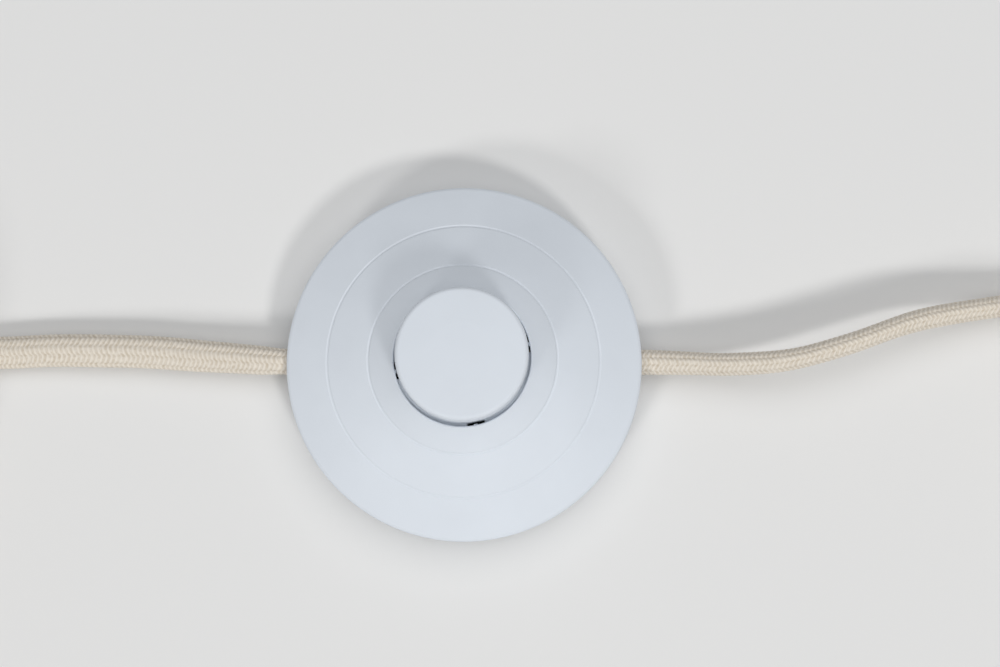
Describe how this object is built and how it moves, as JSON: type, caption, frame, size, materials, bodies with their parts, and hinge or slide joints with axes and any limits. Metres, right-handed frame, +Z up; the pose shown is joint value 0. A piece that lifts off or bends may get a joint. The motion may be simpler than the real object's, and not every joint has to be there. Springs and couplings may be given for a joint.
{
  "type": "in-line foot switch with cords",
  "caption": "Round floor-standing push switch with a conical cover and a central button, fitted in a braided textile lamp cord with a flat plug on one end and bare cores on the other.",
  "frame": {"origin": "on the floor plane, under the centre of the round switch, measured without the cords", "axes": "+Z up along the button's axis; +X towards the lamp cord, -X towards the mains cord; +Y across"},
  "size_m": [0.3966, 0.0898, 0.0342],
  "materials": {
    "white_plastic": "satin moulded plastic",
    "plug_plastic": "soft moulded plastic",
    "black_plastic": "fine matte",
    "natural_plastic": "unpigmented moulded plastic",
    "rubber": "soft matte",
    "steel": "zinc plated",
    "brass": "bare, stamped",
    "plated_metal": "nickel plated",
    "cream_textile": "braided textile",
    "strap": "woven strap",
    "end_sleeve": "shrunk sleeve",
    "brown_insulation": "soft insulation",
    "blue_insulation": "soft insulation"
  },
  "bodies": {
    "housing": {"base_tray": "black_plastic", "case_screw_1": "steel", "case_screw_2": "steel", "case_screw_3": "steel", "clamp_screw_1": "steel", "clamp_screw_2": "steel", "clamp_screw_3": "steel", "clamp_screw_4": "steel", "cord_clamp_lamp": "natural_plastic", "cord_clamp_mains": "natural_plastic", "ferrule_live": "plated_metal", "ferrule_neutral": "plated_metal", "foot_1": "rubber", "foot_2": "rubber", "foot_3": "rubber", "lamp_coil": "cream_textile", "lamp_coil_tie": "strap", "lamp_cord": "cream_textile", "lamp_cord_end": "cream_textile", "lamp_end_sleeve": "end_sleeve", "lamp_live_core": "brown_insulation", "lamp_neutral_core": "blue_insulation", "lamp_tail_live": "brown_insulation", "lamp_tail_neutral": "blue_insulation", "live_in_terminal": "brass", "live_out_terminal": "brass", "mains_coil": "cream_textile", "mains_coil_tie": "strap", "mains_cord": "cream_textile", "mains_cord_end": "cream_textile", "mains_live_core": "brown_insulation", "mains_neutral_core": "blue_insulation", "neutral_link": "brass", "plug_body": "plug_plastic", "plug_pin_1": "plated_metal", "plug_pin_2": "plated_metal", "return_spring": "steel", "terminal_screw_1": "steel", "terminal_screw_2": "steel", "terminal_screw_3": "steel", "terminal_screw_4": "steel", "top_cover": "white_plastic"},
    "button": {"button_cap": "white_plastic", "button_pusher": "natural_plastic"},
    "rotor": {"rotor": "black_plastic", "contact_bridge": "brass"}
  },
  "joints": [
    {"name": "button_press", "type": "slide", "parent": "housing", "child": "button", "axis": [0, 0, -1], "range_m": [0, 0.0035], "stiffness_N_per_m": 1500, "springref_m": -0.003, "deforming": ["return_spring"]},
    {"name": "rotor_turn", "type": "hinge", "parent": "housing", "child": "rotor", "pos_m": [0, 0, 0.008], "axis": [0, 0, 1], "range_deg": [0, 45.1]}
  ],
  "couplings": [
    {"joint": "rotor_turn", "follows": "button_press", "rad_per_m": 224.4}
  ]
}
